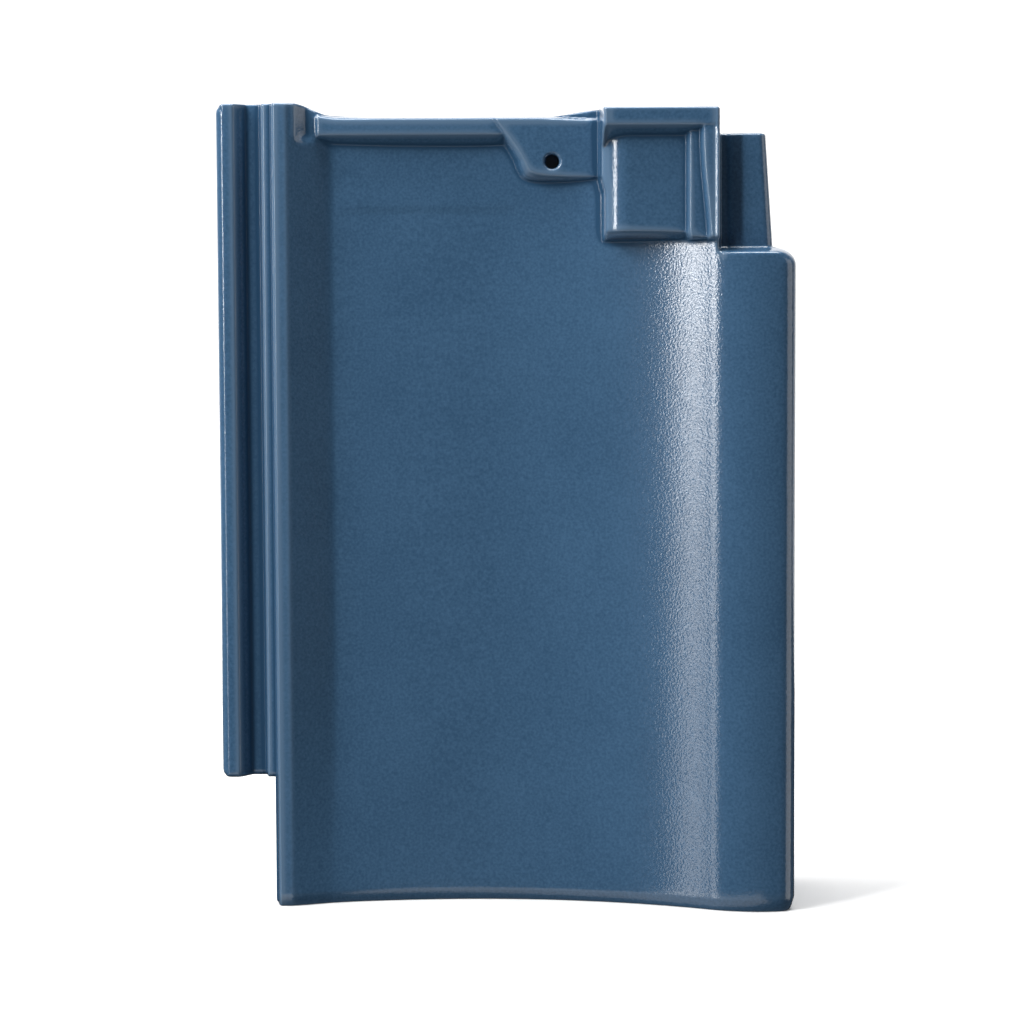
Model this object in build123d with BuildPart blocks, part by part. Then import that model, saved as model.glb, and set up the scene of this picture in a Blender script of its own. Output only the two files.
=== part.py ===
from build123d import *
from math import sqrt
import os

# Glazed clay verge tile, pressed and fired as one piece, in millimetres.
# The tile stands on its foot edge. X runs across it, from the side lock to the verge flap.
# +Z runs from foot to head. The glazed face looks towards -Y and the bearing face towards +Y.
# Heights on the glazed face are measured from the lowest line of the pan, towards -Y.

# Overall size
tile_length = 373.0
tile_width = 266.0
clay = 11.0

# Side lock on the left, measured from the left edge: outer rib, channel, ledge and main rib
outer_rib_width = 8.0
outer_rib_height = 10.0
outer_rib_slope = 4.0
channel_width = 7.5
channel_height = 2.5
ledge_width = 5.0
ledge_height = 9.5
main_rib_width = 8.0
main_rib_height = 14.0
main_rib_slope = 20.0
lock_under_height = -6.0
lock_foot = 60.0
lock_round = 1.5
lock_corner_radius = 4.5

# Pan: its left side is nearly flat, but rises to the rib at the foot
pan_left_height = 1.5
pan_foot_height = 7.5
pan_foot_length = 130.0
pan_radius = 245.0
pan_corner_radius = 8.0

# Roll and verge flap on the right, measured from the right edge
crest_inset = 16.4
roll_radius = 50.0
roll_height = 32.0
roll_corner_radius = 9.0
roll_inner_radius = 2.5
flap_depth = 80.0
flap_edge_radius = 3.0

# Head, measured from the top of the side lock
head_drop = 6.4
head_rise_width = 21.0
lock_rise_gap = 4.5
bar_height = 7.0
bar_width = 12.7
bar_draft = 30.0
bar_left_gap = 6.5

# Nail pad and hole, measured from the corner block and from the top of the side lock
pad_width = 44.5
pad_lean = 9.0
pad_drop = 37.5
pad_shoulder = 9.0
pad_height = 9.0
pad_draft = 20.0
pad_corner_radius = 13.0
nail_hole_inset = 21.5
nail_hole_drop = 27.0
nail_hole_radius = 3.35
nail_hole_web = 3.0

# Corner block, measured from the right edge and from the top of the side lock:
# a flat panel with a rail along its head, a thin rim on its left and a stepped rim on its right
block_right_inset = 35.4
block_width = 54.2
block_head_drop = 4.0
block_length = 59.2
block_draft = 20.0
block_panel_height = 25.0
block_ledge_width = 13.5
block_ledge_height = 28.0
block_rim_width = 5.5
block_rim_height = 31.5
block_rim_slope = 2.0
block_rail_width = 7.5
block_rail_slope = 5.0
left_rim_width = 2.5
left_rim_length = 33.0

# Sunk flange that the flap of the next tile up laps over
flange_length = 52.8
flange_head_drop = 15.0
flange_sink = 10.5
flange_inset = 10.2
flange_taper = 4.2
flange_corner_radius = 5.0

# Hanging lugs on the back, which bear on the batten
lug_drop = 37.0
lug_insets = (68.0, 192.0)
lug_width = 30.0
lug_thickness = 16.0
lug_reach = 15.0
lug_slope = 6.0
lug_round = 4.0

# Places across the tile, from left to right
half_width = tile_width / 2
outer_rib_right_x = outer_rib_width - half_width
channel_left_x = outer_rib_right_x + outer_rib_slope
channel_right_x = channel_left_x + channel_width
rib_left_x = channel_right_x + ledge_width
rib_right_x = rib_left_x + main_rib_width
pan_left_x = rib_right_x + main_rib_slope
lock_rise_x = rib_right_x + lock_rise_gap
block_right_x = half_width - block_right_inset
block_left_x = block_right_x - block_width
pad_left_x = block_left_x - pad_width
ledge_x = block_right_x - block_ledge_width
rim_x = block_right_x - block_rim_width
crest_x = half_width - crest_inset
flange_right_x = half_width - flange_inset
nail_hole_x = block_left_x - nail_hole_inset

# Places along the tile
head_z = tile_length - head_drop
block_top = tile_length - block_head_drop
block_foot = block_top - block_length
rail_foot = block_top - block_rail_width - block_rail_slope
flange_top = tile_length - flange_head_drop
flange_foot = flange_top - flange_length
lug_bearing = tile_length - lug_drop

# Depths, and the centres of the pan's and the roll's arcs
flap_back_y = flap_depth / 2
pan_low_y = roll_height - flap_back_y
lug_back_y = pan_low_y + clay + lug_reach
centres_apart = pan_radius + roll_radius
pan_low_x = crest_x - sqrt(centres_apart**2 - (centres_apart - roll_height) ** 2)
pan_centre = Vector(pan_low_x, pan_low_y - pan_radius)
roll_centre = Vector(crest_x, pan_low_y - roll_height + roll_radius)
to_roll = (roll_centre - pan_centre).normalized()


def face_y(height):
    """Y at a height above the lowest line of the pan."""
    return pan_low_y - height


def pan_point(x, depth=0.0):
    """Point of the pan's right side at x, at a depth below the glazed face."""
    return (x, pan_centre.Y + sqrt((pan_radius + depth) ** 2 - (x - pan_low_x) ** 2))


def roll_point(x, depth=0.0):
    """Point of the roll at x, at a depth below the glazed face."""
    return (x, roll_centre.Y - sqrt((roll_radius - depth) ** 2 - (x - crest_x) ** 2))


def join_point(depth=0.0):
    """Where pan and roll run into each other, at a depth below the glazed face."""
    return pan_centre + to_roll * (pan_radius + depth)


def draw_roll(left_x, right_x, sink):
    """Lines of the pan's right side, the roll and the flap, round to the back at left_x."""
    inner_x = right_x - clay
    under = sink + clay
    outer_join = join_point(sink)
    under_join = join_point(under)
    outer_middle = (left_x + outer_join.X) / 2
    under_middle = (left_x + under_join.X) / 2
    ThreePointArc(pan_point(left_x, sink), pan_point(outer_middle, sink), outer_join)
    ThreePointArc(outer_join, roll_point((outer_join.X + right_x) / 2, sink), roll_point(right_x, sink))
    Polyline(
        roll_point(right_x, sink),
        (right_x, flap_back_y),
        (inner_x, flap_back_y),
        roll_point(inner_x, under),
    )
    ThreePointArc(roll_point(inner_x, under), roll_point((inner_x + under_join.X) / 2, under), under_join)
    ThreePointArc(under_join, pan_point(under_middle, under), pan_point(left_x, under))


def round_flap(right_x, sink, corner_radius):
    """Round the corner inside the roll, both back edges of the flap and the roll's own corner."""
    inner_x = right_x - clay
    fillet(vertices().sort_by_distance(roll_point(inner_x, sink + clay))[0], roll_inner_radius)
    fillet(vertices().sort_by_distance((right_x, flap_back_y))[0], flap_edge_radius)
    fillet(vertices().sort_by_distance((inner_x, flap_back_y))[0], flap_edge_radius)
    fillet(vertices().sort_by_distance(roll_point(right_x, sink))[0], corner_radius)


def body_face(left_height):
    """Section of the tile without its side lock, with the pan's left side at a height."""
    bulge = left_height / 4
    with BuildSketch() as section:
        with BuildLine():
            draw_roll(pan_low_x, half_width, 0.0)
            ThreePointArc(
                (pan_low_x, face_y(-clay)),
                ((pan_low_x + pan_left_x) / 2, face_y(bulge - clay)),
                (pan_left_x, face_y(left_height - clay)),
            )
            Polyline(
                (pan_left_x, face_y(left_height - clay)),
                (rib_right_x, face_y(lock_under_height)),
                (rib_left_x, face_y(lock_under_height)),
                (rib_left_x, face_y(main_rib_height)),
                (rib_right_x, face_y(main_rib_height)),
                (pan_left_x, face_y(left_height)),
            )
            ThreePointArc(
                (pan_left_x, face_y(left_height)),
                ((pan_low_x + pan_left_x) / 2, face_y(bulge)),
                (pan_low_x, pan_low_y),
            )
        make_face()
        round_flap(half_width, 0.0, roll_corner_radius)
        fillet(vertices().group_by(Axis.X)[0].sort_by(Axis.Y)[0], lock_round)
        fillet(vertices().filter_by_position(Axis.X, rib_right_x - 1, rib_right_x + 1), lock_round)
        fillet(vertices().filter_by_position(Axis.X, pan_left_x - 1, pan_left_x + 1), pan_corner_radius)
    return section.sketch


def flange_face(right_x):
    """Section of the sunk flange and its flap, which starts under the corner block."""
    with BuildSketch() as section:
        with BuildLine():
            draw_roll(block_right_x - clay, right_x, flange_sink)
            Line(
                pan_point(block_right_x - clay, flange_sink + clay),
                pan_point(block_right_x - clay, flange_sink),
            )
        make_face()
        round_flap(right_x, flange_sink, flange_corner_radius)
    return section.sketch


# Sections across the tile
foot_section = body_face(pan_foot_height)
upper_section = body_face(pan_left_height)
flange_foot_section = flange_face(flange_right_x)
flange_top_section = flange_face(flange_right_x - flange_taper)
nail_hole_depth = pan_point(nail_hole_x, clay)[1] - nail_hole_web - face_y(pad_height)

with BuildPart() as side_lock:
    # Outer rib, channel and ledge, as far as the main rib
    with BuildSketch():
        with BuildLine():
            Polyline(
                (rib_right_x, face_y(lock_under_height)),
                (rib_right_x, face_y(ledge_height)),
                (channel_right_x, face_y(ledge_height)),
                (channel_right_x, face_y(channel_height)),
                (channel_left_x, face_y(channel_height)),
                (outer_rib_right_x, face_y(outer_rib_height)),
                (-half_width, face_y(outer_rib_height)),
                (-half_width, face_y(lock_under_height)),
                (rib_right_x, face_y(lock_under_height)),
            )
        make_face()
        fillet(vertices().filter_by_position(Axis.X, -tile_width, channel_right_x + 1), lock_round)
    extrude(amount=tile_length)

    # It stops short of the foot, and its outer corners are round
    with BuildSketch(Plane.XZ):
        with Locations((-half_width, lock_foot)):
            Rectangle(tile_width, tile_length - lock_foot, align=(Align.MIN, Align.MIN))
        fillet(vertices().group_by(Axis.X)[0], lock_corner_radius)
    extrude(amount=tile_width, both=True, mode=Mode.INTERSECT)

with BuildPart() as block_rims:
    # Rail along the head of the block, with a drafted lower wall
    with BuildSketch(Plane.YZ.offset(block_left_x)):
        with BuildLine():
            Polyline(
                (pan_low_y, rail_foot),
                (face_y(block_panel_height), rail_foot),
                (face_y(block_rim_height), rail_foot + block_rail_slope),
                (face_y(block_rim_height), tile_length),
                (pan_low_y, tile_length),
                (pan_low_y, rail_foot),
            )
        make_face()
    extrude(amount=block_width)

    # Thin rim down the left side, which fades towards the foot
    with BuildSketch(Plane.YZ.offset(block_left_x)):
        with BuildLine():
            Polyline(
                (pan_low_y, block_top - left_rim_length),
                (face_y(pad_height), block_top - left_rim_length),
                (face_y(block_rim_height), rail_foot),
                (face_y(block_rim_height), tile_length),
                (pan_low_y, tile_length),
                (pan_low_y, block_top - left_rim_length),
            )
        make_face()
    extrude(amount=left_rim_width)

    # Both stand on the curved clay, so what lies deeper than its middle goes
    with BuildSketch():
        with BuildLine():
            Polyline(
                pan_point(block_left_x, clay / 2),
                (block_left_x, face_y(tile_width)),
                (block_right_x, face_y(tile_width)),
                roll_point(block_right_x, clay / 2),
            )
            ThreePointArc(
                roll_point(block_right_x, clay / 2),
                pan_point((block_left_x + block_right_x) / 2, clay / 2),
                pan_point(block_left_x, clay / 2),
            )
        make_face()
    extrude(amount=tile_length, mode=Mode.INTERSECT)

with BuildPart() as corner_block:
    # Panel, ledge and right rim, from the middle of the clay outwards
    with BuildSketch():
        with BuildLine():
            Polyline(
                pan_point(block_left_x, clay / 2),
                (block_left_x, face_y(block_panel_height)),
                (ledge_x - block_rim_slope, face_y(block_panel_height)),
                (ledge_x, face_y(block_ledge_height)),
                (rim_x - block_rim_slope, face_y(block_ledge_height)),
                (rim_x, face_y(block_rim_height)),
                (block_right_x, face_y(block_rim_height)),
                roll_point(block_right_x, clay / 2),
            )
            ThreePointArc(
                roll_point(block_right_x, clay / 2),
                pan_point((block_left_x + block_right_x) / 2, clay / 2),
                pan_point(block_left_x, clay / 2),
            )
        make_face()
    extrude(amount=tile_length)

    # Drafted walls on the left and at the foot
    with BuildSketch(Plane.XZ.offset(-pan_low_y)):
        with Locations((block_left_x, block_foot)):
            Rectangle(tile_width, tile_length, align=(Align.MIN, Align.MIN))
    extrude(amount=roll_height, taper=block_draft, mode=Mode.INTERSECT)
    add(block_rims.part)

with BuildPart() as verge_tile:
    # Rib, pan, roll and flap: flared at the foot, then of one section up to the head
    with BuildSketch():
        add(foot_section)
    with BuildSketch(Plane.XY.offset(pan_foot_length)):
        add(upper_section)
    loft()
    with BuildSketch(Plane.XY.offset(pan_foot_length)):
        add(upper_section)
    extrude(amount=tile_length - pan_foot_length)

    # Room for the flange, beside the corner block
    with BuildSketch(Plane.XY.offset(flange_foot)):
        with Locations((block_right_x, 0)):
            Rectangle(tile_width, tile_width, align=(Align.MIN, Align.CENTER))
    extrude(amount=tile_length, mode=Mode.SUBTRACT)

    # Sunk flange, with a joggle under the roll, and a flap that leans in towards the head
    with BuildSketch(Plane.XY.offset(flange_foot - clay)):
        add(flange_foot_section)
    extrude(amount=clay)
    with BuildSketch(Plane.XY.offset(flange_foot)):
        add(flange_foot_section)
    with BuildSketch(Plane.XY.offset(flange_top)):
        add(flange_top_section)
    loft()

    # Side lock
    add(side_lock.part)

    # Head bar, with drafted walls
    with BuildSketch(Plane.XZ.offset(-pan_low_y)):
        with Locations((pan_left_x - bar_left_gap, head_z - bar_width)):
            Rectangle(block_left_x - pan_left_x + bar_left_gap, tile_length, align=(Align.MIN, Align.MIN))
    extrude(amount=bar_height, taper=bar_draft)

    # Nail pad, which swings up to the head on its left
    with BuildSketch(Plane.XZ.offset(-pan_low_y)):
        with BuildLine():
            Polyline(
                (block_left_x + pad_height, tile_length - pad_drop),
                (pad_left_x + pad_lean, tile_length - pad_drop),
                (pad_left_x + pad_lean, head_z - pad_shoulder),
                (pad_left_x, head_z),
                (pad_left_x, 2 * tile_length),
                (block_left_x + pad_height, 2 * tile_length),
                (block_left_x + pad_height, tile_length - pad_drop),
            )
        make_face()
        fillet(vertices().sort_by_distance((pad_left_x + pad_lean, tile_length - pad_drop))[0], pad_corner_radius)
    extrude(amount=pad_height, taper=pad_draft)

    # Corner block
    add(corner_block.part)

    # Head: low along the pan, with a smooth rise to the side lock and to the corner block
    with BuildSketch(Plane.XZ):
        with BuildLine():
            Spline((lock_rise_x, tile_length), (lock_rise_x + head_rise_width, head_z), tangents=((1, 0), (1, 0)))
            Line((lock_rise_x + head_rise_width, head_z), (block_left_x - head_rise_width, head_z))
            Spline((block_left_x - head_rise_width, head_z), (block_left_x, block_top), tangents=((1, 0), (1, 0)))
            Polyline(
                (block_left_x, block_top),
                (half_width, block_top),
                (half_width, 2 * tile_length),
                (lock_rise_x, 2 * tile_length),
                (lock_rise_x, tile_length),
            )
        make_face()
    extrude(amount=tile_width, both=True, mode=Mode.SUBTRACT)

    # Hanging lugs: flat towards the batten, sloped towards the head
    for inset in lug_insets:
        with BuildSketch(Plane.YZ.offset(half_width - inset - lug_width)):
            with BuildLine():
                Polyline(
                    (pan_low_y, lug_bearing),
                    (lug_back_y, lug_bearing),
                    (lug_back_y, lug_bearing + lug_thickness - lug_slope),
                    (pan_low_y, lug_bearing + lug_thickness),
                    (pan_low_y, lug_bearing),
                )
            make_face()
            fillet(vertices().group_by(Axis.X)[-1].sort_by(Axis.Y)[-1], lug_round)
        extrude(amount=lug_width)

    # Nail hole in the pad, closed at the back by a thin web that the nail breaks out
    with BuildSketch(Plane.XZ.offset(-face_y(pad_height))):
        with Locations((nail_hole_x, tile_length - nail_hole_drop)):
            Circle(nail_hole_radius)
    extrude(amount=-nail_hole_depth, mode=Mode.SUBTRACT)

verge_tile.part.label = "verge_tile"
os.makedirs("parts", exist_ok=True)
export_step(verge_tile.part, "parts/verge_tile.step")
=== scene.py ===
# %% [markdown]
# # A glazed verge tile
# A verge tile closes the edge of a tiled roof. It is pressed from one sheet of clay, glazed on its
# face and fired, so it is one closed skin with no seams. This lesson loads the plain solid tile, works
# out a finer skin for it with numpy, and gives that skin a glaze, bare clay on its back and soft light.

import math

import bpy
import numpy as np
from mathutils import Matrix, Vector


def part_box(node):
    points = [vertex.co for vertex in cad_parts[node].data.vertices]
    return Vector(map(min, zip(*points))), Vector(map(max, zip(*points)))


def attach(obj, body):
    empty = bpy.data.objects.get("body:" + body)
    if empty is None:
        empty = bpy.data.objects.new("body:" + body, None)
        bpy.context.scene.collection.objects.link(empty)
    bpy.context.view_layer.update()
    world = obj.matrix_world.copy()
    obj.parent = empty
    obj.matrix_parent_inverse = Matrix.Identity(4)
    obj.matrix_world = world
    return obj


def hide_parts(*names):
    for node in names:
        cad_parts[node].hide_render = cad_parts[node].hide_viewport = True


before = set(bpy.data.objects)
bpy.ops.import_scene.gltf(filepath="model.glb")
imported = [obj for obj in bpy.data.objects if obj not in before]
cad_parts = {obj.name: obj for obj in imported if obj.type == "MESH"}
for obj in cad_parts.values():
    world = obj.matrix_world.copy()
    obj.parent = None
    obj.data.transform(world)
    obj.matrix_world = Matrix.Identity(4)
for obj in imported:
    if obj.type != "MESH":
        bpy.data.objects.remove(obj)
mm = 0.001
low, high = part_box("verge_tile")
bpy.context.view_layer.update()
print("solid tile in mm:", [round((b - a) / mm, 1) for a, b in zip(low, high)])

# %% [markdown]
# ## The sizes of the tile
# X runs across the tile, Z from its foot to its head, and its glazed face looks towards -Y. Every place
# is measured from the solid's own box. Heights out of the face are measured from the lowest line of
# the pan, the hollow that carries the water.

# %% Sizes of the sheet, the roll and the pan
left_x, right_x = low[0], high[0]
tile_top, flap_back_y = high[2], high[1]
clay = 11 * mm
roll_height = 32 * mm
roll_radius = 50 * mm
pan_radius = 245 * mm
crest_x = right_x - 16.4 * mm
pan_low_y = low[1] + roll_height
centres_apart = pan_radius + roll_radius
pan_low_x = crest_x - math.sqrt(centres_apart**2 - (centres_apart - roll_height) ** 2)
pan_centre_y = pan_low_y - pan_radius
roll_centre_y = pan_low_y - roll_height + roll_radius
join_share = pan_radius / centres_apart
join_x = pan_low_x + (crest_x - pan_low_x) * join_share
rib_height = 14 * mm
pan_rise = 1.5 * mm
flare_rise = 6 * mm
flare_low_z = -40 * mm
flare_end_z = 130 * mm
rib_foot_fillet = 0.8 * mm
print("pan and roll run together at x =", round(join_x / mm, 1), "mm")

# %% Places of the side lock, the head and the corner block
rib_left_x = left_x + 24.5 * mm
rib_right_x = rib_left_x + 8 * mm
pan_left_x = rib_right_x + 20 * mm
lock_foot = 60.3 * mm
head_z = tile_top - 6.4 * mm
block_top = tile_top - 3.4 * mm
block_right_x = right_x - 35.4 * mm
block_left_x = block_right_x - 54.2 * mm
block_foot = block_top - 60.3 * mm
flange_top = tile_top - 15 * mm
flange_foot = flange_top - 52.3 * mm
flange_sink = 10.5 * mm
flange_lean = 4.2 * mm
hole_x = block_left_x - 21.5 * mm
hole_z = tile_top - 27 * mm
hole_radius = 3.35 * mm
hole_depth = 14 * mm

# %% [markdown]
# ## Forms from simple functions
# Three small functions make every raised form. A soft step rises from 0 to 1 along an S. A raised form
# is flat inside its outline and falls outside it along a drafted wall, because a press has to let the
# clay go. A soft higher-of-two joins two slopes with a hollow fillet.

# %% Steps, raised forms and fillets


def soft_step(value, start, stop):
    """0 before start and 1 after stop; between them 3t² - 2t³, where t is the share of the way."""
    t = np.clip((value - start) / (stop - start), 0, 1)
    return t * t * (3 - 2 * t)


def raised(inside, top, draft):
    """The top's height where inside >= 0; outside it falls by the top's height over the draft's width."""
    return top * (1 + np.minimum(inside, 0) / draft)


def soft_higher(a, b, width):
    """The higher of a and b, with a fillet: (a + b + sqrt((a - b)² + width²)) / 2."""
    return (a + b + np.sqrt((a - b) ** 2 + width**2)) / 2


# %% [markdown]
# ## Pan and roll
# Across the tile, the pan is one wide arc and the roll a tighter one that bends the other way. They
# meet where their tangents agree, so light runs over the join without a crease. The same arcs at a
# depth of one thickness of clay give the back.

# %% The curve of pan and roll


def swell_y(x, depth=0.0):
    """Y of the curve at x: the pan's circle before the join and the roll's circle after it."""
    join = pan_low_x + (crest_x - pan_low_x) * (pan_radius + depth) / centres_apart
    pan_part = np.sqrt(np.maximum((pan_radius + depth) ** 2 - (x - pan_low_x) ** 2, 0))
    roll_part = np.sqrt(np.maximum((roll_radius - depth) ** 2 - (x - crest_x) ** 2, 0))
    return np.where(x < join, pan_centre_y + pan_part, roll_centre_y - roll_part)


def left_height(x, z, depth=0.0):
    """Height left of the pan's lowest line: a parabola up to the rib's straight slope, with a fillet.
    The pan's left side is flared at the foot, and the flare dies out up the tile."""
    rise = pan_rise + flare_rise * (1 - soft_step(z, flare_low_z, flare_end_z))
    share = np.clip((pan_low_x - x) / (pan_low_x - pan_left_x), 0, 1)
    slope = (rib_height - rise) / (pan_left_x - rib_right_x)
    return soft_higher(rise * share**2, rise + slope * (pan_left_x - x), rib_foot_fillet) - depth


# %% [markdown]
# ## The side lock
# The neighbouring tile hooks over these ribs: an outer rib, a channel for stray water, a ledge and the
# tall main rib. A profile of straight lines describes them, and the softening below rounds its corners.

# %% The lock's profile
lock_profile = np.array(
    [
        (-20, 10),
        (8.2, 10),
        (13.6, 2.6),
        (20.4, 2.6),
        (20.9, 9.4),
        (25.6, 9.4),
        (26.3, 14),
        (32.5, 14),
    ]
)
lock_places = left_x + lock_profile[:, 0] * mm
lock_heights = lock_profile[:, 1] * mm

# %% [markdown]
# ## A map of heights
# The face is one sheet, so a map of heights over a fine, even grid can hold all of it: the base shape
# first, then each raised form as the higher of the two. Last, the map is averaged over half a
# millimetre, which rounds the edges as a layer of glaze does. Where that would fill a crease, most of
# the filling is taken off again, because the creases of a pressed tile stay crisp.

# %% The grid of the map
map_step = 0.3 * mm
map_x = np.arange(left_x - 6 * mm, block_right_x + 9 * mm, map_step)
map_z = np.arange(-8 * mm, tile_top + 8 * mm, map_step)
X, Z = np.meshgrid(map_x, map_z)


def soften(heights, width):
    """Average a map with a bell curve of that width: first along its rows, then along its columns."""
    reach = int(4 * width / map_step) + 1
    places = np.arange(-reach, reach + 1) * map_step
    bell = np.exp(-((places / width) ** 2) / 2)
    bell /= bell.sum()
    padded = np.pad(heights, reach, mode="edge")
    rows = sum(weight * padded[:, k : k + heights.shape[1]] for k, weight in enumerate(bell))
    return sum(weight * rows[k : k + heights.shape[0]] for k, weight in enumerate(bell))


# %% The base of the face, with the sunk flange and a low swelling at the lap
base = np.where(X < pan_low_x, left_height(X, Z), pan_low_y - swell_y(X))
base = np.where(X < rib_right_x, np.interp(X, lock_places, lock_heights), base)
sunk = soft_step(Z, flange_foot - 1.8 * mm, flange_foot + 0.6 * mm)
sunk = sunk * soft_step(X, block_right_x - 0.3 * mm, block_right_x + 1.3 * mm)
base = base - flange_sink * sunk
lap_height = 0.5 * mm
lap_rise_z = (321.5 * mm, 327 * mm)
lap_fade_z = (330 * mm, 352 * mm)
lap_fade_x = (-8 * mm, 14 * mm)
lap = soft_step(Z, *lap_rise_z) * (1 - soft_step(Z, *lap_fade_z))
lap = lap * soft_step(X, pan_left_x, pan_left_x + 12 * mm) * (1 - soft_step(X, *lap_fade_x))
base = base + lap_height * lap

# %% [markdown]
# ## The head: bar, shoulder and nail pad
# A low bar along the head stops driven rain. It starts behind a small ridge and a dimple on the main
# rib's slope and swings down into the nail pad, where the clay is thicker round the nail hole.

# %% Bar
lip_pan_z = 366.2 * mm
lip_left_rise = 1.8 * mm
lip_pad_drop = 1.0 * mm
lip_steepness = 3.5
lip_z = lip_pan_z + lip_left_rise * (1 - soft_step(X, -93 * mm, -76 * mm))
lip_z = lip_z - lip_pad_drop * soft_step(X, 12 * mm, block_left_x)
under_lip = (lip_z - Z) * lip_steepness
bar_foot_z = 358.6 * mm
bar_height = 7 * mm
bar_draft = 5 * mm
bar_end = X - (pan_left_x - 5.8 * mm)
bar_inside = np.minimum.reduce([Z - bar_foot_z, bar_end, under_lip])
bar = raised(bar_inside, bar_height, bar_draft)
bar = np.where(X < block_left_x, bar, 0)

# %% Ridge and dimple of the shoulder
shoulder_x = rib_right_x + 3.8 * mm
ridge_height = 0.6 * mm
ridge_width = 1.1 * mm
dimple_depth = 2.2 * mm
near_head = soft_step(Z, 354 * mm, 360 * mm)
ridge = np.exp(-(((X - shoulder_x) / ridge_width) ** 2)) * near_head
dimple = soft_step(X, shoulder_x, shoulder_x + 6 * mm) * near_head
dimple = dimple * (1 - soft_step(X, shoulder_x + 4.5 * mm, shoulder_x + 10.5 * mm))
base = base + ridge_height * ridge - dimple_depth * dimple

# %% Nail pad
pad_edge_z = np.array([330, 341, 346.5, 351.4, 358, 365.6, 376]) * mm
pad_edge_x = np.array([8.6, 8.2, 7.2, 4.9, 0.6, -4.8, -12]) * mm
pad_foot_z = 338.2 * mm
pad_lean = 0.87
pad_corner = 6.5 * mm
pad_height = 9 * mm
pad_draft = 3.6 * mm
pad_side = (X - np.interp(Z, pad_edge_z, pad_edge_x)) * pad_lean
pad_inside = -soft_higher(-pad_side, pad_foot_z - Z, pad_corner)
pad = raised(np.minimum(pad_inside, under_lip), pad_height, pad_draft)
pad = np.where(X < block_left_x + 6 * mm, pad, 0)

# %% [markdown]
# ## The corner block
# The block fills the corner that two neighbouring tiles leave open. Its panel is a little pillow,
# rounded on its left, inside a frame: a rail along the head, a thin rim on the left that fades out,
# and on the right a ledge and a rim whose inner edge leans.

# %% Sizes of the block
panel_height = 25 * mm
ledge_height = 28 * mm
rim_height = 31 * mm
rail_height = 31.5 * mm
bead_height = 1.0 * mm
thin_rim_drop = 14 * mm
ledge_x = block_right_x - 13.6 * mm
rail_foot_z = 361.6 * mm
pillow_edge_x = block_left_x + 13.2 * mm
pillow_bend = 35
rail_slope = 1.4
rim_slope = 1.96
ledge_slope = 2.24
thin_rim_slope = 2.2
outer_slope = 22.0

# %% Panel, ledge, rims and rail
side_x = block_left_x + (0.2 + 1.8 * (1 - soft_step(Z, 330 * mm, 339 * mm))) * mm
rim_width = (7.4 - 3.4 * (1 - soft_step(Z, 306 * mm, 356 * mm))) * mm
panel = panel_height - pillow_bend * np.maximum(pillow_edge_x - X, 0) ** 2
ledge = ledge_height + np.minimum((X - ledge_x) * ledge_slope, 0)
bead = bead_height * soft_step(X, block_right_x - 2.2 * mm, block_right_x - 0.9 * mm)
rim = rim_height + np.minimum((X - block_right_x + rim_width) * rim_slope, 0) + bead
rail = rail_height + np.minimum((Z - rail_foot_z) * rail_slope, 0)
thin_rim_top = rail_height - thin_rim_drop * (1 - soft_step(Z, 347 * mm, 361 * mm))
thin_rim = thin_rim_top - np.maximum(X - side_x - 1.3 * mm, 0) * thin_rim_slope
block = np.maximum.reduce([panel, ledge, rim, rail, thin_rim])

# %% The block's outer walls and its foot
left_wall = (X - side_x) * outer_slope + 9 * mm
right_wall = (block_right_x + 1.3 * mm - X) * outer_slope + 15 * mm
block = np.minimum.reduce([block, left_wall, right_wall])
foot_run = (3.9 - 2.7 * soft_step(X, ledge_x - 1 * mm, ledge_x + 1 * mm)) * mm
foot_share = np.clip((Z - block_foot) / foot_run, 0, 1)
block = base + (block - base) * foot_share
block = np.where((X > block_left_x - 3 * mm) & (X < block_right_x + 4 * mm), block, 0)

# %% All the forms together, softened
edge_softness = 0.5 * mm
crease_kept = 0.88
relief_width = 2.2 * mm
sharp = np.maximum.reduce([base, bar, pad, block])
rounded = soften(sharp, edge_softness)
face = rounded - crease_kept * np.maximum(rounded - sharp, 0)
relief = face - soften(face, relief_width)
print("map of heights:", face.shape, "highest", round(face.max() / mm, 1), "mm")

# %% [markdown]
# ## The back
# The back follows the face at one thickness of clay, without the raised forms. Under the lock it is
# flat. Two lugs hook over the batten: flat below, where they bear on it, and sloped towards the head.

# %% The map of the back
lock_under = -6 * mm
back = np.where(X < pan_low_x, left_height(X, Z, clay), pan_low_y - swell_y(X, clay))
under_lock = np.interp(X, [rib_right_x, pan_left_x], [lock_under, -20 * mm])
back = np.where(X < pan_left_x, np.maximum(np.minimum(back, lock_under), under_lock), back)
back_sunk = soft_step(Z, flange_foot - clay - 2 * mm, flange_foot - clay)
back_sunk = back_sunk * soft_step(X, block_right_x - clay - 1 * mm, block_right_x - clay + 1 * mm)
back = back - flange_sink * back_sunk

lug_foot = tile_top - 37 * mm
lug_places = [left_x + 44 * mm, right_x - 98 * mm]
lug_width = 30 * mm
lug_reach = 15 * mm
for lug_x in lug_places:
    across = np.minimum(X - lug_x, lug_x + lug_width - X) / (1 * mm)
    upward = (Z - lug_foot) / (0.6 * mm)
    slope_back = (lug_foot + 16 * mm - Z) / (6 * mm)
    lug = np.clip(np.minimum.reduce([across, upward, slope_back]), 0, 1)
    back = np.minimum(back, back - (clay + lug_reach + back) * lug)
back = soften(back, 0.6 * mm)

# %% [markdown]
# ## The lattice of the skin
# The skin is a lattice of stations across and along the tile. Stations lie close where the form turns
# and far apart on the plain pan. Near an outer edge they follow the cosine of an even turn, so a
# rounded edge gets steps of equal angle.

# %% Stations


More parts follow.
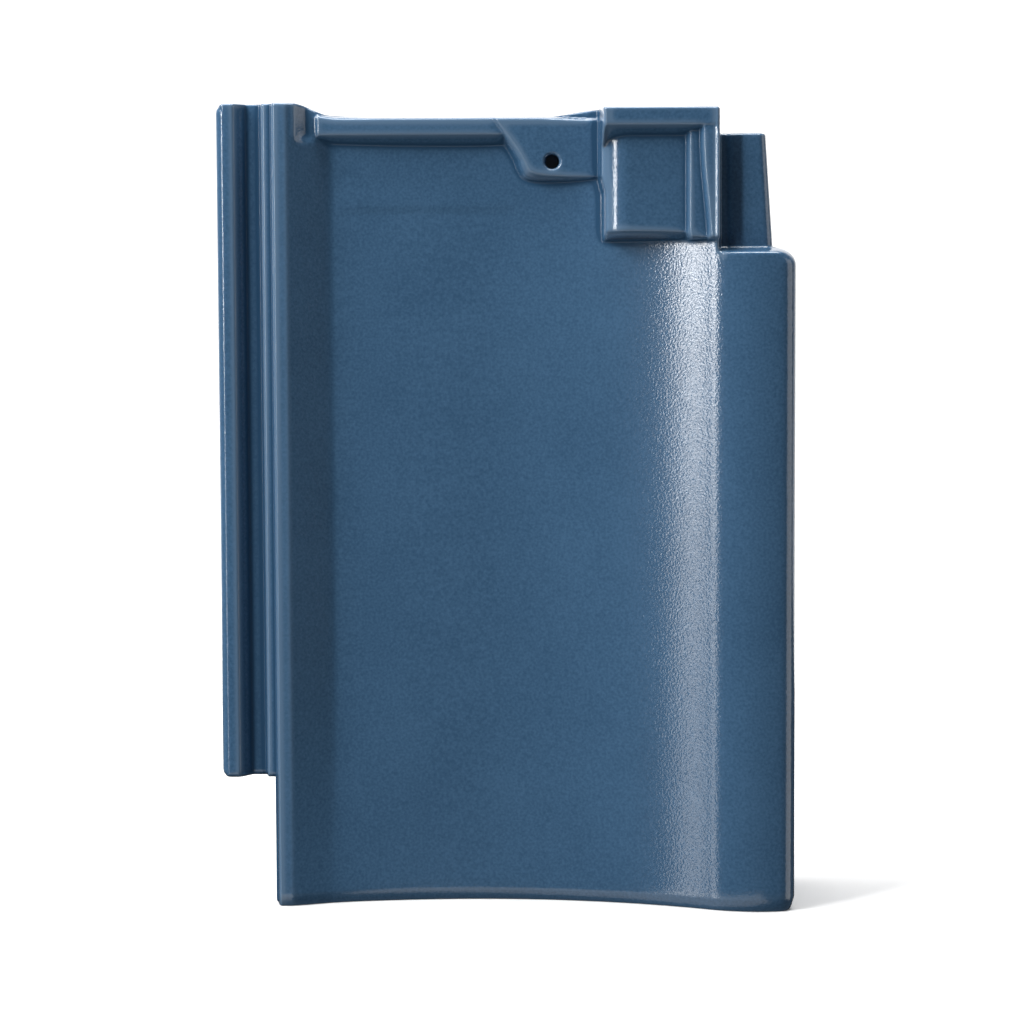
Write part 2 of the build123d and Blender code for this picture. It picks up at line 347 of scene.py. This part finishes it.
def runs(*places):
    """Stations from pairs of place and step: even steps of about that size up to the next place."""
    parts = []
    for (start, step), (stop, _) in zip(places[:-1], places[1:]):
        count = max(1, round((stop - start) / step))
        parts.append(np.linspace(start, stop, count + 1)[:-1])
    return np.append(np.concatenate(parts), places[-1][0])


def edge_stations(edge, radius, count, inward=1):
    """Stations beside an outer edge: edge + radius (1 - cos a), for even angles a up to a right angle."""
    angles = np.linspace(0, np.pi / 2, count + 1)[:-1]
    return edge + inward * radius * (1 - np.cos(angles))


left_round = 4.2 * mm
notch_round = 2.5 * mm
foot_round = 6.5 * mm
head_round = 1.2 * mm
small_round = 1.2 * mm
nose_depth = 2.6 * mm
hole_wall = 0.15 * mm
fine, medium, coarse = 0.64 * mm, 1.1 * mm, 4.2 * mm
across_flat = runs(
    (left_x + left_round, 1.4 * mm),
    (left_x + 7 * mm, fine),
    (rib_left_x - 0.7 * mm, 0.7 * mm),
    (rib_left_x, 0.5 * mm),
    (rib_right_x + 2 * mm, medium),
    (pan_left_x - 7 * mm, 0.9 * mm),
    (pan_left_x + 3 * mm, coarse),
    (lug_places[0] + lug_width - 1 * mm, 1 * mm),
    (lug_places[0] + lug_width + 1 * mm, coarse),
    (-10 * mm, fine),
    (hole_x - hole_radius, hole_wall),
    (hole_x - hole_radius + hole_wall, 0.6 * mm),
    (hole_x + hole_radius - hole_wall, hole_wall),
    (hole_x + hole_radius, fine),
    (block_right_x, 0.5 * mm),
    (block_right_x + 2.4 * mm, 1),
)
across = np.append(edge_stations(left_x, left_round, 9), across_flat)
along_flat = runs(
    (foot_round, 5 * mm),
    (lock_foot - 2 * mm, 2 * mm),
    (lock_foot, 1 * mm),
    (lock_foot + 4 * mm, 8 * mm),
    (flange_foot - clay - 3 * mm, 1 * mm),
    (flange_foot - 9 * mm, 0.75 * mm),
    (flange_foot + 12 * mm, 0.9 * mm),
    (lug_foot - 0.6 * mm, 0.6 * mm),
    (hole_z - hole_radius, hole_wall),
    (hole_z - hole_radius + hole_wall, 0.6 * mm),
    (hole_z + hole_radius - hole_wall, hole_wall),
    (hole_z + hole_radius, 0.75 * mm),
    (flange_top - 1.5 * mm, 0.5 * mm),
    (flange_top, 0.72 * mm),
    (block_top - head_round, 1),
)
along = np.append(edge_stations(0, foot_round, 8), along_flat)
along = np.append(along, edge_stations(block_top, head_round, 5, -1)[::-1])
print("stations across:", len(across), "along:", len(along))

# %% [markdown]
# ## Roll corner, flap and flange in section
# Beyond the block the sheet bends round the roll's corner and runs back as the verge flap, so a height
# map can't hold it. A section does: an arc of the roll, a small arc that touches both it and the flap,
# and the straight flap. The sunk flange is the same section, moved in. Stations with the same number
# on both sections belong together, so one can be blended into the other.

# %% The section round the roll
arc_steps, corner_steps, flap_steps = 14, 12, 6
flap_round = 3 * mm
start_x = across[-1]


def roll_section(side_x, depth, corner):
    """X and Y of the section: along the roll's circle, round the corner's circle inside it, and down
    the flap at side_x. The corner's centre lies one corner radius inside both roll and flap."""
    radius = roll_radius - depth
    centre_x = side_x - corner
    centre_y = roll_centre_y - math.sqrt((radius - corner) ** 2 - (centre_x - crest_x) ** 2)
    touch = math.atan2(centre_y - roll_centre_y, centre_x - crest_x)
    x_arc = np.linspace(start_x, crest_x + radius * math.cos(touch), arc_steps + 1)
    y_arc = swell_y(x_arc, depth)
    turn = np.linspace(touch, 0, corner_steps + 1)[1:]
    x_turn = centre_x + corner * np.cos(turn)
    y_turn = centre_y + corner * np.sin(turn)
    y_flap = np.linspace(centre_y, flap_back_y - flap_round, flap_steps + 1)[1:]
    y_flap = np.append(y_flap, edge_stations(flap_back_y, flap_round, 5, -1)[::-1][1:])
    x_flap = np.full(len(y_flap), side_x)
    return np.concatenate([x_arc, x_turn, x_flap])[1:], np.concatenate([y_arc, y_turn, y_flap])[1:]


flange_side_x = right_x - 10.2 * mm
roll_x, roll_y = roll_section(right_x, 0, 9 * mm)
flange_x, flange_y = roll_section(flange_side_x, flange_sink, 5 * mm)
roll_back_x, roll_back_y = roll_section(right_x - clay, clay, 4 * mm)
flange_back_x, flange_back_y = roll_section(flange_side_x - clay, flange_sink + clay, 4 * mm)
bend_count = len(roll_x)
print("stations round the roll:", bend_count)

# %% [markdown]
# ## The whole lattice in space
# First every lattice point gets its place in the front view. The upper rows bend with the head's
# outline, squares at the outer corners turn into quarter discs, and the squares round the nail hole
# turn into circles: a point keeps its largest coordinate as its new distance from the centre.

# %% The head's outline and the bends of the lattice


def head_line(x):
    """Z of the head at x: high at the side lock, low along the pan, and up again to the corner block."""
    down = 0.8 * soft_step(x, rib_right_x + 3 * mm, rib_right_x + 20 * mm)
    down = down + 0.2 * soft_step(x, rib_right_x + 14 * mm, rib_right_x + 46 * mm)
    up = soft_step(x, block_left_x - 26 * mm, block_left_x + 2 * mm)
    return tile_top - (tile_top - head_z) * down + (block_top - head_z) * up


def to_disc(x, z, centre, reach, toward):
    """Turn the square corner between the centre and centre + reach * toward into a quarter disc:
    the offset from the centre is scaled by its largest part over its length."""
    a = np.clip((x - centre[0]) * toward[0] / reach, 0, None)
    b = np.clip((z - centre[1]) * toward[1] / reach, 0, None)
    inside = (a > 0) & (b > 0) & (a < 1 + 1e-6) & (b < 1 + 1e-6)
    scale = np.where(inside, np.maximum(a, b) / np.maximum(np.hypot(a, b), 1e-9), 1)
    new_x = centre[0] + (x - centre[0]) * scale
    new_z = centre[1] + (z - centre[1]) * scale
    return new_x, new_z


bend_foot = 325 * mm
bend_run = roll_x - start_x + np.abs(roll_y - swell_y(start_x))
column = np.append(across, start_x + bend_run)
flat_count = len(across)
U, V = np.meshgrid(column, along)
flat_x = np.minimum(U, start_x)
stretch = (head_line(flat_x) - bend_foot) / (block_top - bend_foot)
place_x = flat_x.copy()
place_z = np.where(V > bend_foot, bend_foot + (V - bend_foot) * stretch, V)

corners = [
    (left_x, tile_top, 4.5 * mm, (-1, 1)),
    (left_x, lock_foot, 3.7 * mm, (-1, -1)),
    (rib_left_x, 0, 2.5 * mm, (-1, -1)),
    (block_right_x, block_top, 1.5 * mm, (1, 1)),
]
for corner_x, corner_z, reach, toward in corners:
    centre = (corner_x - toward[0] * reach, corner_z - toward[1] * reach)
    new_x, new_z = to_disc(place_x, place_z, centre, reach, toward)
    place_x = np.where(U <= block_right_x + 1e-6, new_x, place_x)
    place_z = np.where(U <= block_right_x + 1e-6, new_z, place_z)

box_distance = np.maximum(np.abs(U - hole_x), np.abs(V - hole_z))
ring = 1 - soft_step(box_distance, hole_radius, 3 * hole_radius)
round_scale = box_distance / np.maximum(np.hypot(U - hole_x, V - hole_z), 1e-9)
round_x = hole_x + (U - hole_x) * round_scale
round_z = hole_z + (V - hole_z) * round_scale
place_x = place_x + (round_x - place_x) * ring
place_z = place_z + (round_z - place_z) * ring

# %% [markdown]
# ## Rounded edges
# Clay has no sharp edges, and glaze softens them further. At a distance d from an outer edge the face
# is lowered by r - sqrt(r² - (r - d)²), which is a quarter circle of radius r. Each edge of the outline
# has its own radius: wide at the foot, where the photograph shows a soft nose, and small at the head.
# The nose is half an even slope and half a rounding, so a faint crease runs along its upper side.

# %% Distances to the outline, and how far the face falls


def fall(distance, radius, depth):
    """How far a rounded edge falls at a distance d inside the edge, with r the radius along the face
    and h the depth: a quarter ellipse, h (1 - sqrt(1 - ((r - d) / r)²))."""
    rest = np.clip(1 - distance / radius, 0, 1)
    return depth * (1 - np.sqrt(np.maximum(1 - rest**2, 0)))


def bevelled_fall(distance, radius, depth):
    """Half an even slope from the radius on, and half a quarter ellipse, which leaves a faint crease."""
    return 0.5 * depth * np.clip(1 - distance / radius, 0, 1) + 0.5 * fall(distance, radius, depth)


run_to_back = column[-1] - U
to_left = np.where(V > lock_foot - 1e-6, U - left_x, 1)
to_notch = np.hypot(np.maximum(U - rib_left_x, 0), np.maximum(V - lock_foot, 0))
to_head = np.where(U > block_right_x + 1e-6, 1, block_top - V)
to_step = np.hypot(np.maximum(block_right_x - U, 0), np.maximum(flange_top - V, 0))
to_hole = np.maximum(box_distance - hole_radius, 0)
nose = foot_round * (0.85 + 0.15 * soft_step(U, 40 * mm, 95 * mm))
outline_edges = [
    (to_left, left_round, left_round),
    (to_notch, notch_round, notch_round),
    (to_head, head_round, head_round),
    (to_step, small_round, small_round),
    (run_to_back, flap_round, flap_round),
]
front_fall = np.sqrt(sum(fall(d, radius, depth) ** 2 for d, radius, depth in outline_edges))
front_fall = np.hypot(front_fall, bevelled_fall(V, nose, nose_depth))
front_fall = np.minimum(front_fall, 0.6 * clay)
back_fall = np.sqrt(sum(fall(d, small_round, small_round) ** 2 for d, _, _ in outline_edges))
back_fall = np.hypot(back_fall, fall(V, small_round, small_round))
back_fall = np.minimum(back_fall, 0.15 * clay)
to_edge = np.minimum.reduce([distance for distance, _, _ in outline_edges] + [V])
in_hole = box_distance < hole_radius - hole_wall / 2
hole_edge = fall(to_hole, small_round, small_round)
front_fall = front_fall + np.where(in_hole, hole_depth, hole_edge)
to_rim = np.minimum(to_edge, to_hole)

# %% Read the maps at the lattice, and bend the section round the roll


def read_map(values, x, z):
    """Read a map between its grid points, as the average of the four nearest weighted by nearness."""
    a = np.clip((x - map_x[0]) / map_step, 0, len(map_x) - 1.001)
    b = np.clip((z - map_z[0]) / map_step, 0, len(map_z) - 1.001)
    i, j = b.astype(int), a.astype(int)
    s, t = a - j, b - i
    lower = values[i, j] * (1 - s) + values[i, j + 1] * s
    upper = values[i + 1, j] * (1 - s) + values[i + 1, j + 1] * s
    return lower * (1 - t) + upper * t


def skin(heights, own_fall, inward, section, flange_section, blend):
    """Points of one side of the sheet. Left of the roll's end they stand on the map of heights. Round
    the roll they go from the roll's section to the flange's by the blend, and fall along the normal.
    Nothing reaches behind the flap's back edge."""
    points = np.empty(U.shape + (3,))
    points[..., 0] = place_x
    points[..., 1] = pan_low_y - read_map(heights, place_x, place_z) + inward * own_fall
    points[..., 2] = place_z
    lean = flange_lean * np.clip((along - flange_foot) / (flange_top - flange_foot), 0, 1)
    share = np.linspace(0, 1, bend_count) ** 0.5
    flange_places = flange_section[0][None, :] - lean[:, None] * share[None, :]
    bend_x = section[0] + (flange_places - section[0]) * blend
    bend_y = section[1] + (flange_section[1] - section[1]) * blend
    along_x = np.gradient(bend_x, axis=1)
    along_y = np.gradient(bend_y, axis=1)
    length = np.maximum(np.hypot(along_x, along_y), 1e-9)
    bend_fall = own_fall[:, flat_count:]
    points[:, flat_count:, 0] = bend_x - inward * along_y / length * bend_fall
    points[:, flat_count:, 1] = bend_y + inward * along_x / length * bend_fall
    points[:, flat_count:, 2] = V[:, flat_count:]
    points[..., 1] = np.minimum(points[..., 1], flap_back_y)
    return points


end_height = read_map(face, np.full(len(along), start_x), along)
end_share = np.clip((pan_low_y - swell_y(start_x) - end_height) / flange_sink, 0, 1)
turned = soft_step(np.linspace(0, 1, bend_count), 0.25, 0.62)
ledge_share = np.clip((along - flange_foot + 8 * mm) / (8.5 * mm), 0, 1)
shoulder_share = 1 - np.sqrt(1 - ledge_share**2)
front_blend = end_share[:, None] * (1 - turned) + shoulder_share[:, None] * turned
back_end = read_map(back, np.full(len(along), start_x), along)
back_share = np.clip((pan_low_y - swell_y(start_x, clay) - back_end) / flange_sink, 0, 1)
back_blend = np.repeat(back_share[:, None], bend_count, axis=1)

front_points = skin(face, front_fall, 1, (roll_x, roll_y), (flange_x, flange_y), front_blend)
back_points = skin(
    back, back_fall, -1, (roll_back_x, roll_back_y), (flange_back_x, flange_back_y), back_blend
)

# %% [markdown]
# ## One closed mesh
# The outline has steps: the lock stops above the foot, and the flange stops below the head. Lattice
# cells beyond the outline are left out. Wherever a kept cell has no neighbour, a wall joins the front
# to the back, so the mesh is closed all round.

# %% Faces of the front, the back and the walls
middle_u = (column[:-1] + column[1:]) / 2
middle_v = (along[:-1] + along[1:]) / 2
CU, CV = np.meshgrid(middle_u, middle_v)
kept = ~((CU < rib_left_x) & (CV < lock_foot))
kept &= ~((CU > block_right_x) & (CV > flange_top))

rows, columns = U.shape
index = np.arange(rows * columns).reshape(rows, columns)
a, b = index[:-1, :-1][kept], index[:-1, 1:][kept]
c, d = index[1:, 1:][kept], index[1:, :-1][kept]
to_back = rows * columns
front_faces = np.stack([a, b, c, d], axis=1)
back_faces = np.stack([a, d, c, b], axis=1) + to_back


def wall_faces(first, second, wanted):
    """Walls on the wanted lattice edges; the front face beside each runs from first to second."""
    p, q = first[wanted], second[wanted]
    return np.stack([q, p, p + to_back, q + to_back], axis=1)


above = np.pad(kept, ((0, 1), (0, 0)))
below = np.pad(kept, ((1, 0), (0, 0)))
beyond = np.pad(kept, ((0, 0), (0, 1)))
before = np.pad(kept, ((0, 0), (1, 0)))
walls = [
    wall_faces(index[:, :-1], index[:, 1:], above & ~below),
    wall_faces(index[:, 1:], index[:, :-1], below & ~above),
    wall_faces(index[1:, :], index[:-1, :], beyond & ~before),
    wall_faces(index[:-1, :], index[1:, :], before & ~beyond),
]
faces = np.concatenate([front_faces, back_faces] + walls)
used, faces = np.unique(faces, return_inverse=True)
faces = faces.reshape(-1, 4)
points = np.concatenate([front_points.reshape(-1, 3), back_points.reshape(-1, 3)])[used]

mesh = bpy.data.meshes.new("tile_skin")
mesh.from_pydata(points, [], faces)
mesh.polygons.foreach_set("use_smooth", np.ones(len(faces), dtype=bool))
tile = bpy.data.objects.new("tile_skin", mesh)
bpy.context.scene.collection.objects.link(tile)
print("tile skin:", len(points), "points,", 2 * len(faces), "triangles")

# %% [markdown]
# ## Where the glaze lies
# Glaze is sprayed on the face, runs over the edges and stops a little way in on the back, where it
# would weld the tile to the kiln's shelf. Two values stored at every point tell the finish about it:
# how far the glaze covers, and how far the form stands out, because glaze runs thin on edges and
# gathers in hollows. The second value also carries painted light: painted shade in the hollows, a pale
# band along the outline's edges that is partly thin glaze and partly a painted highlight, a painted
# highlight along the nose's crease and a painted reflection round the turn of the roll's corner.

# %% Values at the points for the finish
relief_unit = 0.55 * mm
edge_glaze_and_highlight_reach = 1.6 * mm
nose_highlight_reach = 0.9 * mm
cover_reach = 9 * mm
front_relief_and_light = read_map(relief, place_x, place_z) / relief_unit
# Painted reflection: a pale band round the turn of the roll's corner, where the glaze would mirror the
# bright wall.
painted_corner_reflection = np.clip(1 - np.abs(np.linspace(0, 1, bend_count) - 0.55) / 0.2, 0, 1)
front_relief_and_light[:, flat_count:] = 0.35 * painted_corner_reflection
front_relief_and_light = np.where(U > block_right_x + 1 * mm, np.maximum(front_relief_and_light, 0), front_relief_and_light)
# Paler near the outline's edges: partly thin glaze, partly a painted highlight.
edge_thin_glaze_and_highlight = np.exp(-to_rim / edge_glaze_and_highlight_reach)
# Painted highlight: a pale line along the crease at the top of the nose.
nose_crease_highlight = 0.5 * np.exp(-(((V - nose) / nose_highlight_reach) ** 2))
front_relief_and_light = np.clip(front_relief_and_light + edge_thin_glaze_and_highlight + nose_crease_highlight, -1.5, 1.5)
back_relief = np.zeros(U.shape)
front_cover = np.ones(U.shape)
back_cover = np.clip(0.8 - to_edge / cover_reach, 0, 1)
# The second value holds the form's relief together with painted light: highlights and shade painted into
# the glaze's colour.
for name, front_value, back_value in [
    ("glaze_cover", front_cover, back_cover),
    ("stand_out_and_light", front_relief_and_light, back_relief),
]:
    values = np.concatenate([front_value.ravel(), back_value.ravel()])[used]
    attribute = mesh.attributes.new(name, "FLOAT", "POINT")
    attribute.data.foreach_set("value", values.astype(np.float32))
    print(name, "from", round(values.min(), 2), "to", round(values.max(), 2))

# %% [markdown]
# ## The glaze and the fired clay
# The glaze is a blue, slightly milky glass over clay. Up close its colour is mottled by fine grains,
# its surface has a faint orange peel, it pales where it runs thin over an edge and deepens where it
# gathers. Its colour also holds painted light: the pale share is partly painted highlight and
# reflection on edges, and the deep share is partly painted shade in the hollows. Its outermost layer
# is a clear coat that mirrors sharply, except deep in the hollows. A node group works out that colour,
# its gloss and its height from the stored values and from noise on the object's own coordinates; the
# shader itself stays in the material.

# %% Helpers for node trees


def add_node(tree, kind, inputs=None, **settings):
    """A node of that kind, with settings on the node and plain values or sockets on its inputs."""
    node = tree.nodes.new(kind)
    for name, value in settings.items():
        setattr(node, name, value)
    for name, value in (inputs or {}).items():
        if isinstance(value, bpy.types.NodeSocket):
            tree.links.new(value, node.inputs[name])
        else:
            node.inputs[name].default_value = value
    return node


def noise(tree, position, scale, detail=2.0, roughness=0.5):
    """Noise at the object's position; scale is in grains to the metre."""
    inputs = {"Vector": position, "Scale": scale, "Detail": detail, "Roughness": roughness}
    return add_node(tree, "ShaderNodeTexNoise", inputs).outputs["Fac"]


def remap(tree, value, low_in, high_in, low_out=0.0, high_out=1.0):
    """Map a value evenly from one range to another, and hold it at the ends."""
    inputs = {"Value": value, "From Min": low_in, "From Max": high_in}
    inputs |= {"To Min": low_out, "To Max": high_out}
    return add_node(tree, "ShaderNodeMapRange", inputs).outputs["Result"]


def calculate(tree, operation, first, second):
    """One sum on two values or sockets."""
    return add_node(tree, "ShaderNodeMath", {0: first, 1: second}, operation=operation).outputs[0]


def mix_colours(tree, share, first, second):
    """The first colour where the share is 0 and the second where it is 1."""
    inputs = {0: share, 6: first, 7: second}
    return add_node(tree, "ShaderNodeMix", inputs, data_type="RGBA").outputs[2]


# %% The glaze group
glaze_group = bpy.data.node_groups.new("glaze_over_clay", "ShaderNodeTree")
interface = glaze_group.interface
for name, kind in [
    ("Glaze", "NodeSocketColor"),
    ("Thin Glaze And Highlight", "NodeSocketColor"),
    ("Deep Glaze And Shade", "NodeSocketColor"),
    ("Clay", "NodeSocketColor"),
]:
    interface.new_socket(name, in_out="INPUT", socket_type=kind)
for name, kind in [
    ("Colour", "NodeSocketColor"),
    ("Roughness", "NodeSocketFloat"),
    ("Coat", "NodeSocketFloat"),
    ("Height", "NodeSocketFloat"),
]:
    interface.new_socket(name, in_out="OUTPUT", socket_type=kind)

given = glaze_group.nodes.new("NodeGroupInput").outputs
position = add_node(glaze_group, "ShaderNodeTexCoord").outputs["Object"]
cover_value = add_node(glaze_group, "ShaderNodeAttribute", attribute_name="glaze_cover").outputs["Fac"]
relief_and_light_value = add_node(glaze_group, "ShaderNodeAttribute", attribute_name="stand_out_and_light").outputs["Fac"]

grains = noise(glaze_group, position, 800.0, 1.0, 0.5)
clouds = noise(glaze_group, position, 26.0, 3.0, 0.55)
# Pale share: thin glaze and painted highlights on edges.
thin_glaze_and_highlight_share = remap(glaze_group, relief_and_light_value, 0.25, 1.3)
# Deep share: pooled glaze and painted shade in the hollows.
pooled_glaze_and_shade_share = remap(glaze_group, relief_and_light_value, -0.3, -1.3)
open_share = remap(glaze_group, relief_and_light_value, -1.5, -0.7, 0.1, 1.0)

cloudy = calculate(glaze_group, "MULTIPLY", clouds, 0.35)
grainy = calculate(glaze_group, "MULTIPLY", grains, 0.65)
depth_share = remap(glaze_group, calculate(glaze_group, "ADD", cloudy, grainy), 0.33, 0.67, 0, 0.6)
glaze_colour = mix_colours(glaze_group, depth_share, given["Glaze"], given["Deep Glaze And Shade"])
# Painted shade and pooled glaze darken the hollows.
glaze_colour = mix_colours(glaze_group, pooled_glaze_and_shade_share, glaze_colour, given["Deep Glaze And Shade"])
# Thin glaze and painted highlights pale the edges.
glaze_colour = mix_colours(glaze_group, thin_glaze_and_highlight_share, glaze_colour, given["Thin Glaze And Highlight"])

ragged = calculate(glaze_group, "MULTIPLY", noise(glaze_group, position, 160.0, 4.0, 0.6), 0.5)
covered = remap(glaze_group, calculate(glaze_group, "ADD", cover_value, ragged), 0.66, 0.78)
clay_spots = noise(glaze_group, position, 420.0, 5.0, 0.7)
clay_shade = remap(glaze_group, clay_spots, 0.35, 0.65, 0.55, 1.0)
dark_clay = (0.12, 0.055, 0.032, 1)
clay_colour = mix_colours(glaze_group, clay_shade, dark_clay, given["Clay"])
full_colour = mix_colours(glaze_group, covered, clay_colour, glaze_colour)

clay_roughness = 0.88
glaze_rough = remap(glaze_group, clouds, 0.1, 0.9, 0.15, 0.2)
rough_gap = calculate(glaze_group, "SUBTRACT", clay_roughness, glaze_rough)
bare = calculate(glaze_group, "SUBTRACT", 1.0, covered)
roughness = calculate(
    glaze_group, "ADD", glaze_rough, calculate(glaze_group, "MULTIPLY", rough_gap, bare)
)
peel = noise(glaze_group, position, 1050.0, 1.0, 0.5)
clay_height = calculate(glaze_group, "MULTIPLY", clay_spots, 6.0)
height = calculate(
    glaze_group,
    "ADD",
    calculate(glaze_group, "MULTIPLY", peel, covered),
    calculate(glaze_group, "MULTIPLY", clay_height, bare),
)
group_out = glaze_group.nodes.new("NodeGroupOutput").inputs
for name, socket in [
    ("Colour", full_colour),
    ("Roughness", roughness),
    ("Coat", calculate(glaze_group, "MULTIPLY", covered, open_share)),
    ("Height", height),
]:
    glaze_group.links.new(socket, group_out[name])

# %% The tile's material
glazed_clay = bpy.data.materials.new("glazed_clay")
glazed_clay.use_nodes = True
tree = glazed_clay.node_tree
shader = tree.nodes["Principled BSDF"]
glaze = tree.nodes.new("ShaderNodeGroup")
glaze.node_tree = glaze_group
glaze.inputs["Glaze"].default_value = (0.062, 0.143, 0.256, 1)
# Paler blue: thin glaze and painted highlight.
glaze.inputs["Thin Glaze And Highlight"].default_value = (0.105, 0.185, 0.290, 1)
# Darker blue: random deeper glaze, and painted shade in the hollows.
glaze.inputs["Deep Glaze And Shade"].default_value = (0.026, 0.076, 0.150, 1)
glaze.inputs["Clay"].default_value = (0.30, 0.145, 0.082, 1)
bump_inputs = {"Height": glaze.outputs["Height"], "Strength": 1.0, "Distance": 0.06 * mm}
surface = add_node(tree, "ShaderNodeBump", bump_inputs)
tree.links.new(glaze.outputs["Colour"], shader.inputs["Base Color"])
tree.links.new(glaze.outputs["Roughness"], shader.inputs["Roughness"])
tree.links.new(glaze.outputs["Coat"], shader.inputs["Coat Weight"])
tree.links.new(surface.outputs["Normal"], shader.inputs["Normal"])
tree.links.new(surface.outputs["Normal"], shader.inputs["Coat Normal"])
shader.inputs["Coat Roughness"].default_value = 0.09
shader.inputs["IOR"].default_value = 1.48
mesh.materials.append(glazed_clay)

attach(tile, "root")
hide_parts("verge_tile")

# %% [markdown]
# ## A pale floor and a plain wall
# The tile stands on a white floor that curves up into a white wall, so the picture has no horizon. The
# profile is a floor, a quarter circle and a wall. Floor and wall are two strips of it, because the glaze
# mirrors the wall along its rims but shows nothing of the floor.

# %% Floor and wall behind the tile
bend_radius = 0.5
bend_start_y = 0.7
wall_height = 3.0
bend_angles = np.linspace(0, np.pi / 2, 24)
wall_profile_y = np.append(bend_start_y + bend_radius * np.sin(bend_angles), bend_start_y + bend_radius)
wall_profile_z = np.append(bend_radius * (1 - np.cos(bend_angles)), wall_height)


def backdrop_strip(name, profile_y, profile_z):
    """A strip 6 m wide along X that follows the profile in Y and Z; it only stages the picture."""
    strip_points = [(side * 3.0, y, z) for y, z in zip(profile_y, profile_z) for side in (-1, 1)]
    strip_faces = [(2 * k, 2 * k + 1, 2 * k + 3, 2 * k + 2) for k in range(len(profile_y) - 1)]
    strip_mesh = bpy.data.meshes.new(name)
    strip_mesh.from_pydata(strip_points, [], strip_faces)
    strip_mesh.polygons.foreach_set("use_smooth", [True] * len(strip_faces))
    strip = bpy.data.objects.new(name, strip_mesh)
    bpy.context.scene.collection.objects.link(strip)
    strip.visible_shadow = False
    return strip


floor = backdrop_strip("floor", [-3.0, bend_start_y], [0.0, 0.0])
floor.visible_glossy = False
floor.visible_diffuse = False
wall = backdrop_strip("wall", wall_profile_y.tolist(), wall_profile_z.tolist())

paper = bpy.data.materials.new("white_paper")
paper.use_nodes = True
paper_tree = paper.node_tree
paper_shader = paper_tree.nodes["Principled BSDF"]
paper_place = add_node(paper_tree, "ShaderNodeTexCoord").outputs["Object"]
paper_share = noise(paper_tree, paper_place, 3.0)
paper_colour = mix_colours(paper_tree, paper_share, (0.90, 0.90, 0.90, 1), (0.92, 0.92, 0.92, 1))
paper_tree.links.new(paper_colour, paper_shader.inputs["Base Color"])
paper_shader.inputs["Roughness"].default_value = 0.9
paper_shader.inputs["Specular IOR Level"].default_value = 0.0
floor.data.materials.append(paper)
wall.data.materials.append(paper)

# %% [markdown]
# ## Soft studio light
# The glaze is drawn by what it mirrors. A tall narrow soft box on the left front gives the streak down
# the roll; its lower parts are weaker, because the streak fades towards the foot. A box higher up on the
# left gives most of the colour. A lamp above keeps floor and wall white, a weak one from below stands
# in for the light that a floor throws back, and a strip on the right shows the turn of the flap.

# %% Lamps


def soft_box(name, place, target, width, height, power):
    """A rectangular area lamp at a place, turned towards the target, with its height upright."""
    lamp = bpy.data.lights.new(name, "AREA")
    lamp.shape = "RECTANGLE"
    lamp.size, lamp.size_y = width, height
    lamp.energy = power
    box = bpy.data.objects.new(name, lamp)
    aim = Vector(target) - Vector(place)
    box.matrix_world = Matrix.Translation(place) @ aim.to_track_quat("-Z", "Y").to_matrix().to_4x4()
    bpy.context.scene.collection.objects.link(box)


key_aim_x, key_aim_y = 0.084, -0.01
key_azimuth = math.radians(45.8)
key_distance = 1.43
key_width = 0.14
key_x = key_aim_x - key_distance * math.sin(key_azimuth)
key_y = key_aim_y - key_distance * math.cos(key_azimuth)
key_parts = [(-0.7, -0.06, 2.7), (-0.06, 0.11, 4.4), (0.11, 0.28, 7.6), (0.28, 1.5, 15.0)]
for part_low, part_high, brightness in key_parts:
    part_height = part_high - part_low
    part_middle = (part_low + part_high) / 2
    part_power = brightness * math.pi * key_width * part_height
    place = (key_x, key_y, part_middle)
    soft_box("key", place, (key_aim_x, key_aim_y, part_middle), key_width, part_height, part_power)
soft_box("top_light", (-0.1, -0.05, 2.2), (-0.1, 0.1, 0.0), 2.4, 1.0, 60)
soft_box("upper_left", (-1.65, -1.0, 1.65), (0.0, 0.0, 0.15), 1.1, 1.1, 49)
soft_box("from_below", (-0.6, -1.0, -0.85), (0.0, 0.0, 0.1), 2.4, 0.8, 4)
soft_box("right_strip", (1.4, -0.18, 0.15), (0.1, 0.0, 0.15), 0.9, 1.6, 4.5)

world = bpy.data.worlds.new("studio")
world.use_nodes = True
background = world.node_tree.nodes["Background"]
background.inputs["Color"].default_value = (0.9, 0.92, 0.95, 1)
background.inputs["Strength"].default_value = 0.04
bpy.context.scene.world = world

# %% [markdown]
# ## The camera
# The lines of the tile in the photograph give its camera: a long lens that looks slightly down from
# 1.4 m away, turned by a quarter of a degree.

# %% Camera at the photograph's angle
picture_width = 1024
focal_pixels = 2996
shift_right_pixels, shift_up_pixels = 7, -2
sensor_width = 36.0
camera_distance = 1.4
pitch = math.asin(0.0775)
roll_turn = -0.00428
aim_point = Vector((-0.0005, pan_low_y, 0.1845))

camera_data = bpy.data.cameras.new("camera")
camera_data.sensor_width = sensor_width
camera_data.lens = focal_pixels / picture_width * sensor_width
camera_data.shift_x = shift_right_pixels / picture_width
camera_data.shift_y = shift_up_pixels / picture_width
camera = bpy.data.objects.new("camera", camera_data)
backward = Vector((0, -math.cos(pitch), math.sin(pitch)))
level_right = Vector((1, 0, 0))
level_up = backward.cross(level_right)
camera_right = level_right * math.cos(roll_turn) + level_up * math.sin(roll_turn)
camera_up = backward.cross(camera_right)
turned_axes = Matrix((camera_right, camera_up, backward)).transposed().to_4x4()
camera.matrix_world = Matrix.Translation(aim_point + backward * camera_distance) @ turned_axes
bpy.context.scene.collection.objects.link(camera)
bpy.context.scene.camera = camera

bpy.context.scene.view_settings.view_transform = "Standard"
bpy.context.scene.view_settings.look = "None"
